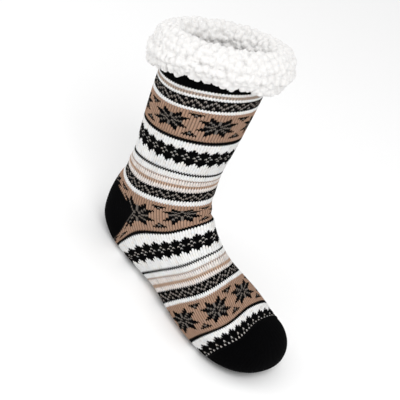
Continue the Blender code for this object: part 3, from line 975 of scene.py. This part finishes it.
def sherpa_cuff(rng):
    """The turned-down band: its section carried round the knit's outline, with its pile."""
    profile = spaced(cuff_profile(), CUFF_RING, closed=True)
    angle = np.linspace(0.0, 2 * math.pi, CUFF_COLUMNS, endpoint=False)
    wave = sum(size * np.sin(count * angle + phase) for count, size, phase in HEM_WAVES)
    drops = hem_drops(angle)[:, None]
    rings = []
    for out, up in profile:
        drop = CUFF_DROP * min(max((SEAT_RISE - up) / (CUFF_HEIGHT - CUFF_RISE), 0.0), 1.0) * (out > 0)
        ring, away, rise = (
            high + (lower - high) * drops for high, lower in zip(shaft_frame(up), shaft_frame(up - drop))
        )
        low = np.clip((-WAVE_START - up) / WAVE_GROW, 0.0, 1.0)
        low *= 1.0 if out > SEAT_OUT + WAVE_FACE else WAVE_INSIDE
        rings.append(ring + SHIFT + away * out + rise * (wave * low)[:, None])
    points = np.array(rings)
    outs, below = profile[:, 0], profile[:, 1] < SEAT_RISE
    seat = below & (outs > SEAT_IN - SEAT_BARE) & (outs < SEAT_OUT + SEAT_BARE)
    from_seat = np.where(below, np.minimum(np.abs(outs - SEAT_OUT), np.abs(outs - SEAT_IN)), 1)
    pile = np.clip((from_seat - PILE_BARE) / PILE_GROW, 0.0, 1.0) * ~seat
    pile = np.broadcast_to(pile[:, None], points.shape[:2])
    normals = ring_normals(points)
    lift = lump_field(points, pile, LUMPS, rng)
    points = points + normals * (lift - PILE_SINK * pile)[..., None]
    points += CURL * np.clip(rng.standard_normal(points.shape), -2.0, 2.0) * pile[..., None]
    # painted shade in the dips between the pile's lumps
    hollow_shade = np.clip(PILE_SHADE[0] - lift / PILE_SHADE[1], 0.0, 1.0) * pile
    points = np.concatenate([points, points[:1]])
    hollow_shade = np.concatenate([hollow_shade, hollow_shade[:1]])
    colors = np.full((CUFF_RING, CUFF_COLUMNS, 3), PILE_COLOR)
    return grid_mesh("sherpa_cuff_pile", points, True, colors, hollow_shade, repeats=(8.0, 3.0))


def sherpa_lining(rng):
    """The bag of fleece inside the knit, from under the cuff down to the toe."""
    rows, columns = LINING_ROWS, LINING_COLUMNS
    place = np.linspace(LINING_START, END - LINING_STOP, rows)[:, None] * np.ones(columns)
    wale = np.linspace(0.0, WALES, columns, endpoint=False)[None] * np.ones((rows, 1))
    points, normals = surface(place, wale)
    middle = points.mean(axis=1, keepdims=True)
    off = np.clip(np.linalg.norm(points - middle, axis=2) * LINING_SHARE, 0.0, LINING_OFF)
    points = points - normals * off[..., None]
    lift = lump_field(points, np.ones(points.shape[:2]), LINING_LUMPS, rng)
    points = points - normals * (lift * off / LINING_OFF)[..., None]
    tip = np.broadcast_to(points[-1].mean(axis=0), (1, columns, 3))
    points = np.concatenate([points, tip])
    # painted shade in the dips between the lining's lumps
    hollow_shade = np.clip(LINING_SHADE[0] - lift / LINING_SHADE[1], 0.0, 1.0)
    hollow_shade = np.concatenate([hollow_shade, hollow_shade[-1:]])
    colors = np.full((rows, columns, 3), PILE_COLOR)
    return grid_mesh("sherpa_lining", points, True, colors, hollow_shade, repeats=(8.0, 12.0))


# Materials: noises as scale, detail and roughness
FIBRES = (900.0, 4.0, 0.6)
PATCHES = (38.0, 3.0, 0.6)
CURLS = (420.0, 5.0, 0.7)
FUZZ = (1500.0, 3.0, 0.6)
NOISE_SPAN = (0.3, 0.7)  # where most of a noise's values lie
FIBRE_SHADES = (0.90, 1.08)
PATCH_SHADES = (0.95, 1.05)
CURL_SHADES = (0.97, 1.02)
YARN_HOLLOW_SHADE = 0.50  # how light the yarn is in full painted shade
# how light the fleece is in full painted shade
SHERPA_HOLLOW_SHADE = 0.70
FUZZ_SHARE = 0.4  # of the fuzz in the pile's relief
SHERPA_WHITE = (0.785, 0.775, 0.765, 1.0)
YARN_LOOK = {"Roughness": 0.90, "Specular IOR Level": 0.03, "Sheen Weight": 0.004, "Sheen Roughness": 0.5}
SHERPA_LOOK = {
    "Roughness": 0.97,
    "Specular IOR Level": 0.1,
    "Sheen Weight": 0.15,
    "Sheen Roughness": 0.6,
    "Subsurface Weight": 0.3,
    "Subsurface Radius": (1.0, 0.95, 0.9),
    "Subsurface Scale": 0.0025,
}
FLOOR_LOOK = {"Base Color": (0.96, 0.96, 0.96, 1.0), "Roughness": 0.9, "Specular IOR Level": 0.1}
YARN_RELIEF = {"Strength": 0.35, "Distance": 0.0004}
SHERPA_RELIEF = {"Strength": 0.5, "Distance": 0.0012}


def set_inputs(node, values):
    for name, value in values.items():
        node.inputs[name].default_value = value


def nodes_of(name):
    made = bpy.data.materials.new(name)
    made.use_nodes = True
    tree = made.node_tree
    return made, tree, tree.nodes["Principled BSDF"]


def attribute(tree, name):
    made = tree.nodes.new("ShaderNodeAttribute")
    made.attribute_name = name
    return made


def noise(tree, scale, detail, roughness):
    coords = tree.nodes.new("ShaderNodeTexCoord")
    made = tree.nodes.new("ShaderNodeTexNoise")
    set_inputs(made, {"Scale": scale, "Detail": detail, "Roughness": roughness})
    tree.links.new(coords.outputs["Object"], made.inputs["Vector"])
    return made.outputs["Fac"]


def ranged(tree, source, span, wanted):
    made = tree.nodes.new("ShaderNodeMapRange")
    set_inputs(made, {"From Min": span[0], "From Max": span[1], "To Min": wanted[0], "To Max": wanted[1]})
    tree.links.new(source, made.inputs["Value"])
    return made.outputs["Result"]


def maths(tree, operation, first, second):
    made = tree.nodes.new("ShaderNodeMath")
    made.operation = operation
    for socket, value in zip(made.inputs, (first, second)):
        if isinstance(value, float):
            socket.default_value = value
        else:
            tree.links.new(value, socket)
    return made.outputs["Value"]


def shaded_color(tree, shader, color, shade):
    """Gives the shader a colour that is scaled by a shade."""
    made = tree.nodes.new("ShaderNodeVectorMath")
    made.operation = "SCALE"
    tree.links.new(color, made.inputs[0])
    tree.links.new(shade, made.inputs["Scale"])
    tree.links.new(made.outputs["Vector"], shader.inputs["Base Color"])


def relief(tree, shader, height, values):
    """Gives the shader a fine relief."""
    made = tree.nodes.new("ShaderNodeBump")
    set_inputs(made, values)
    tree.links.new(height, made.inputs["Height"])
    tree.links.new(made.outputs["Normal"], shader.inputs["Normal"])


def yarn_material():
    made, tree, shader = nodes_of("yarn")
    fibre, patch = noise(tree, *FIBRES), noise(tree, *PATCHES)
    # painted shade: the knit's hollow attribute darkens the yarn between stitches and rows
    hollow_shade = ranged(tree, attribute(tree, "hollow_shade").outputs["Fac"], (0.0, 1.0), (1.0, YARN_HOLLOW_SHADE))
    shade = maths(tree, "MULTIPLY", hollow_shade, ranged(tree, fibre, NOISE_SPAN, FIBRE_SHADES))
    shade = maths(tree, "MULTIPLY", shade, ranged(tree, patch, NOISE_SPAN, PATCH_SHADES))
    shaded_color(tree, shader, attribute(tree, "yarn").outputs["Color"], shade)
    relief(tree, shader, fibre, YARN_RELIEF)
    set_inputs(shader, YARN_LOOK)
    return made


def sherpa_material():
    made, tree, shader = nodes_of("sherpa")
    curl, fuzz = noise(tree, *CURLS), noise(tree, *FUZZ)
    # painted shade: the hollow attribute darkens the fleece in its dips
    hollow_shade = ranged(tree, attribute(tree, "hollow_shade").outputs["Fac"], (0.0, 1.0), (1.0, SHERPA_HOLLOW_SHADE))
    shade = maths(tree, "MULTIPLY", hollow_shade, ranged(tree, curl, NOISE_SPAN, CURL_SHADES))
    white = tree.nodes.new("ShaderNodeRGB")
    white.outputs["Color"].default_value = SHERPA_WHITE
    shaded_color(tree, shader, white.outputs["Color"], shade)
    relief(tree, shader, maths(tree, "ADD", curl, maths(tree, "MULTIPLY", fuzz, FUZZ_SHARE)), SHERPA_RELIEF)
    set_inputs(shader, SHERPA_LOOK)
    return made


# Floor, light and camera
CAMERA_AZIMUTH = math.radians(37.539)
CAMERA_ELEVATION = math.radians(29.123)
CAMERA_ROLL = math.radians(24.608)
CAMERA_DISTANCE = 1.3
CAMERA_SCALE = 1061.185  # pixels to a metre at the target
CAMERA_TARGET = (0.125, 0.0, 0.12)
CAMERA_CLIP = (0.05, 20.0)
SENSOR_WIDTH = 36.0
PICTURE = 400.0  # its width and height, in pixels
TARGET_PIXEL = (226.2, 192.24)
FLOOR_SIZE = 6.0
WORLD_STRENGTH = 0.82
LIGHT_TARGET = (0.0, 0.0, 0.1)
LIGHTS = (
    # name, place, diameter, power
    ("key", (0.9, -0.7, 1.3), 0.9, 12.0),
    ("fill", (-0.9, -1.0, 0.9), 1.2, 4.0),
)


def make_floor():
    bpy.ops.mesh.primitive_plane_add(size=FLOOR_SIZE, location=(0.0, 0.0, 0.0))
    floor = bpy.context.object
    floor.name = "floor"
    made, _, shader = nodes_of("floor")
    set_inputs(shader, FLOOR_LOOK)
    floor.data.materials.append(made)


def stand(thing, x, y, z, place):
    """Stands a lamp or camera at a place, with its axes along three directions."""
    thing.matrix_world = Matrix([[x[k], y[k], z[k], place[k]] for k in range(3)] + [[0, 0, 0, 1]])
    bpy.context.scene.collection.objects.link(thing)


def area_light(name, place, size, power):
    data = bpy.data.lights.new(name, "AREA")
    data.shape = "DISK"
    data.size = size
    data.energy = power
    z = unit(np.array(place) - np.array(LIGHT_TARGET))
    x = unit(np.cross((0.0, 0.0, 1.0), z))
    stand(bpy.data.objects.new(name, data), x, np.cross(z, x), z, place)


def make_lights():
    world = bpy.data.worlds.new("studio")
    world.use_nodes = True
    background = world.node_tree.nodes["Background"]
    set_inputs(background, {"Color": (1.0, 1.0, 1.0, 1.0), "Strength": WORLD_STRENGTH})
    bpy.context.scene.world = world
    for light in LIGHTS:
        area_light(*light)


def make_camera():
    a, e, r = CAMERA_AZIMUTH, CAMERA_ELEVATION, CAMERA_ROLL
    away = np.array([math.sin(a) * math.cos(e), -math.cos(a) * math.cos(e), math.sin(e)])
    flat = np.array([math.cos(a), math.sin(a), 0.0])
    up = np.cross(away, flat)
    x = flat * math.cos(r) + up * math.sin(r)
    y = -flat * math.sin(r) + up * math.cos(r)
    place = np.array(CAMERA_TARGET) + SHIFT + CAMERA_DISTANCE * away
    data = bpy.data.cameras.new("camera")
    data.sensor_fit = "HORIZONTAL"
    data.sensor_width = SENSOR_WIDTH
    data.lens = SENSOR_WIDTH * CAMERA_SCALE * CAMERA_DISTANCE / PICTURE
    data.shift_x = (0.5 * PICTURE - TARGET_PIXEL[0]) / PICTURE
    data.shift_y = (TARGET_PIXEL[1] - 0.5 * PICTURE) / PICTURE
    data.clip_start, data.clip_end = CAMERA_CLIP
    camera = bpy.data.objects.new("camera", data)
    stand(camera, x, y, away, place)
    bpy.context.scene.camera = camera


def main():
    rng = np.random.default_rng(SEED)
    make_camera()
    make_lights()
    make_floor()
    yarn, sherpa = yarn_material(), sherpa_material()
    knit = [
        knit_tube("knit_leg", False, rng), knit_tube("knit_foot", True, rng),
        heel_pocket(rng), toe_pocket(rng), toe_link(rng),
    ]
    for piece in knit:
        piece.data.materials.append(yarn)
        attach(piece, "root")
        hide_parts("knit_sock")
    cuff, lining = sherpa_cuff(rng), sherpa_lining(rng)
    for piece in (cuff, lining):
        piece.data.materials.append(sherpa)
        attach(piece, "root")
    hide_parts("sherpa_cuff")
    bpy.context.scene.view_settings.view_transform = "Standard"
    bpy.context.view_layer.update()


main()
